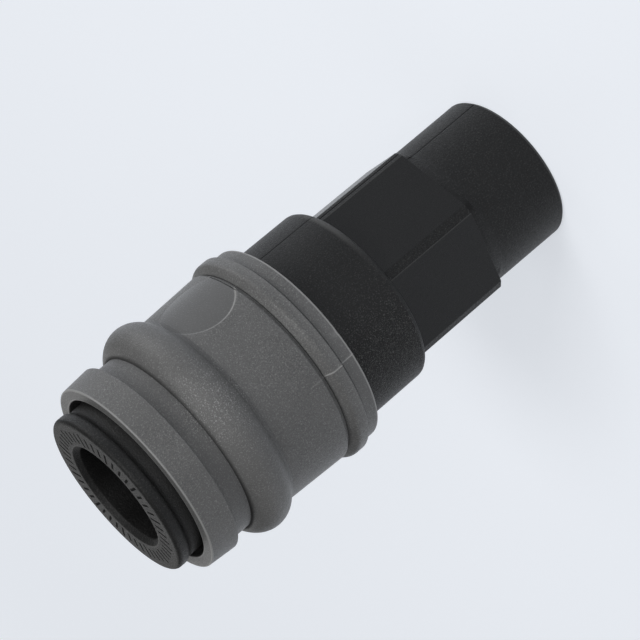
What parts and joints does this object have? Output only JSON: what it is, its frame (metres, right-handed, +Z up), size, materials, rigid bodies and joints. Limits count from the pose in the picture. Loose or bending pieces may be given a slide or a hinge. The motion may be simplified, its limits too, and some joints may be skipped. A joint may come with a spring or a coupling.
{
  "type": "plastic quick disconnect coupling",
  "caption": "Grey and black plastic ball-lock quick disconnect socket with a sliding sleeve, a shut-off valve and a female pipe-thread tail.",
  "frame": {"origin": "centre of the thread end face, on which the coupling stands", "axes": "+Z up the coupling's axis towards the nose, where the plug goes in; -Y towards a corner of the hexagon and, at rest, the round pad on the sleeve"},
  "size_m": [0.0268, 0.0268, 0.0586],
  "materials": {
    "black_body": "moulded, fine spark-eroded grain",
    "grey_sleeve": "moulded, spark-eroded grain",
    "valve_plastic": "smooth moulded",
    "seal_rubber": "moulded nitrile rubber",
    "spring_steel": "drawn stainless wire",
    "ball_steel": "ground and polished stainless steel"
  },
  "bodies": {
    "root": {"rear_body": "black_body", "barrel": "black_body", "plug_seal": "seal_rubber", "valve_cage": "valve_plastic", "valve_guide": "valve_plastic", "body_ring": "seal_rubber"},
    "sleeve_spring_coil": {"sleeve_spring": "spring_steel"},
    "sleeve_shell": {"sleeve": "grey_sleeve"},
    "valve_poppet": {"valve": "valve_plastic", "valve_ring": "seal_rubber", "valve_spring": "spring_steel"},
    "ball_1": {"locking_ball_1": "ball_steel"},
    "ball_2": {"locking_ball_2": "ball_steel"},
    "ball_3": {"locking_ball_3": "ball_steel"},
    "ball_4": {"locking_ball_4": "ball_steel"},
    "ball_5": {"locking_ball_5": "ball_steel"},
    "ball_6": {"locking_ball_6": "ball_steel"}
  },
  "joints": [
    {"name": "sleeve_slide", "type": "slide", "parent": "root", "child": "sleeve_spring_coil", "axis": [0, 0, -1], "range_m": [0, 0.0045], "stiffness_N_per_m": 1200, "springref_m": -0.002, "deforming": ["sleeve_spring"]},
    {"name": "sleeve_turn", "type": "hinge", "parent": "sleeve_spring_coil", "child": "sleeve_shell", "pos_m": [0, 0, 0.044], "axis": [0, 0, 1], "continuous": true},
    {"name": "valve_slide", "type": "slide", "parent": "root", "child": "valve_poppet", "axis": [0, 0, -1], "range_m": [0, 0.004], "stiffness_N_per_m": 300, "springref_m": -0.003, "deforming": ["valve_spring"]},
    {"name": "ball_1_slide", "type": "slide", "parent": "root", "child": "ball_1", "axis": [1, 0, 0], "range_m": [0, 0.00125]},
    {"name": "ball_2_slide", "type": "slide", "parent": "root", "child": "ball_2", "axis": [0.5, 0.866, 0], "range_m": [0, 0.00125]},
    {"name": "ball_3_slide", "type": "slide", "parent": "root", "child": "ball_3", "axis": [-0.5, 0.866, 0], "range_m": [0, 0.00125]},
    {"name": "ball_4_slide", "type": "slide", "parent": "root", "child": "ball_4", "axis": [-1, 0, 0], "range_m": [0, 0.00125]},
    {"name": "ball_5_slide", "type": "slide", "parent": "root", "child": "ball_5", "axis": [-0.5, -0.866, 0], "range_m": [0, 0.00125]},
    {"name": "ball_6_slide", "type": "slide", "parent": "root", "child": "ball_6", "axis": [0.5, -0.866, 0], "range_m": [0, 0.00125]}
  ],
  "couplings": [
    {"joint": "ball_1_slide", "follows": "sleeve_slide", "ratio": 0.27778},
    {"joint": "ball_2_slide", "follows": "sleeve_slide", "ratio": 0.27778},
    {"joint": "ball_3_slide", "follows": "sleeve_slide", "ratio": 0.27778},
    {"joint": "ball_4_slide", "follows": "sleeve_slide", "ratio": 0.27778},
    {"joint": "ball_5_slide", "follows": "sleeve_slide", "ratio": 0.27778},
    {"joint": "ball_6_slide", "follows": "sleeve_slide", "ratio": 0.27778}
  ]
}
